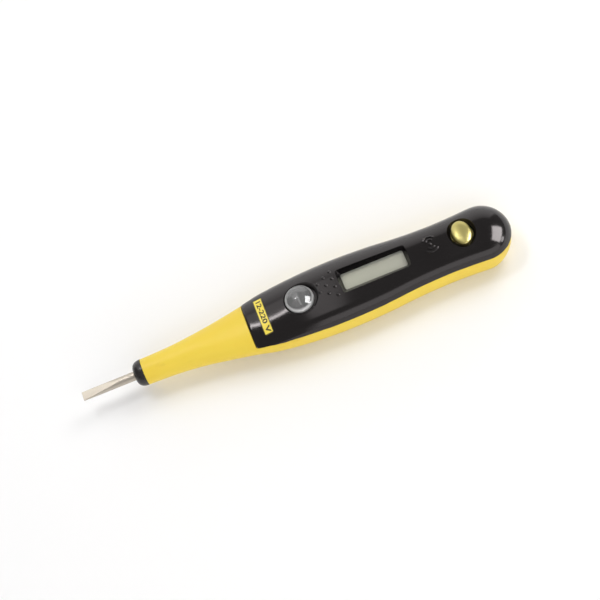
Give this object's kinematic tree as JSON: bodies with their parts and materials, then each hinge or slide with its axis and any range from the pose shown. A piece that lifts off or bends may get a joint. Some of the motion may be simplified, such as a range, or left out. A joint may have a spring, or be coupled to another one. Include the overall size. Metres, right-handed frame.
{
  "type": "non contact voltage tester",
  "caption": "Pen-shaped voltage tester with a slotted test blade, two-part body, small display, domed lens button, oval touch button and a hinged battery door.",
  "frame": {"origin": "bottom centre of the whole tester, on the plane of its flat underside", "axes": "+X towards the rear end, away from the blade; +Z out of the display side"},
  "size_m": [0.14, 0.0216, 0.017],
  "materials": {
    "yellow_plastic": "satin moulded ABS",
    "black_plastic": "polished black ABS",
    "collar_plastic": "satin black nylon",
    "label_film": "printed vinyl",
    "blade_steel": "plated tool steel",
    "spring_steel": "bright steel",
    "contact_metal": "nickel-plated strip",
    "cell_steel": "nickel-plated can",
    "brass": "polished brass",
    "clear_plastic": "clear acrylic",
    "display_glass": "grey-green reflective liquid crystal panel",
    "contact_rubber": "layered conductive rubber",
    "board": "green solder mask",
    "chip_resin": "black epoxy",
    "resistor_body": "lacquered body",
    "led_resin": "tinted clear resin"
  },
  "bodies": {
    "housing": {"lower_shell": "yellow_plastic", "top_cover": "black_plastic", "label": "label_film", "blade": "blade_steel", "nose_collar": "collar_plastic", "blade_sleeve": "collar_plastic", "probe_spring": "spring_steel", "touch_spring": "spring_steel", "safety_resistor": "resistor_body", "circuit_board": "board", "display_panel": "display_glass", "display_window": "clear_plastic", "display_contact_strips": "contact_rubber", "controller_chip": "chip_resin", "surface_parts": "chip_resin", "indicator_led": "led_resin", "switch_body": "chip_resin", "cell_front": "cell_steel", "cell_rear": "cell_steel", "cell_contact_front": "contact_metal", "cell_contact_rear": "contact_metal", "case_screws": "spring_steel"},
    "lens": {"lens_button": "clear_plastic"},
    "plunger": {"switch_plunger": "collar_plastic"},
    "touch": {"touch_button": "brass"},
    "door": {"battery_door": "yellow_plastic", "cell_link": "contact_metal"}
  },
  "joints": [
    {"name": "lens_press", "type": "slide", "parent": "housing", "child": "lens", "axis": [0, 0, -1], "range_m": [0, 0.0004], "stiffness_N_per_m": 300, "springref_m": -0.001},
    {"name": "plunger_press", "type": "slide", "parent": "housing", "child": "plunger", "axis": [0, 0, -1], "range_m": [0, 0.0004]},
    {"name": "touch_press", "type": "slide", "parent": "housing", "child": "touch", "axis": [0, 0, -1], "range_m": [0, 0.0008], "stiffness_N_per_m": 200, "springref_m": -0.002, "deforming": ["touch_spring"]},
    {"name": "battery_door_hinge", "type": "hinge", "parent": "housing", "child": "door", "pos_m": [0.02875, 0, 0.00115], "axis": [0, 1, 0], "range_deg": [0, 60]}
  ],
  "couplings": [
    {"joint": "plunger_press", "follows": "lens_press", "ratio": 1}
  ]
}
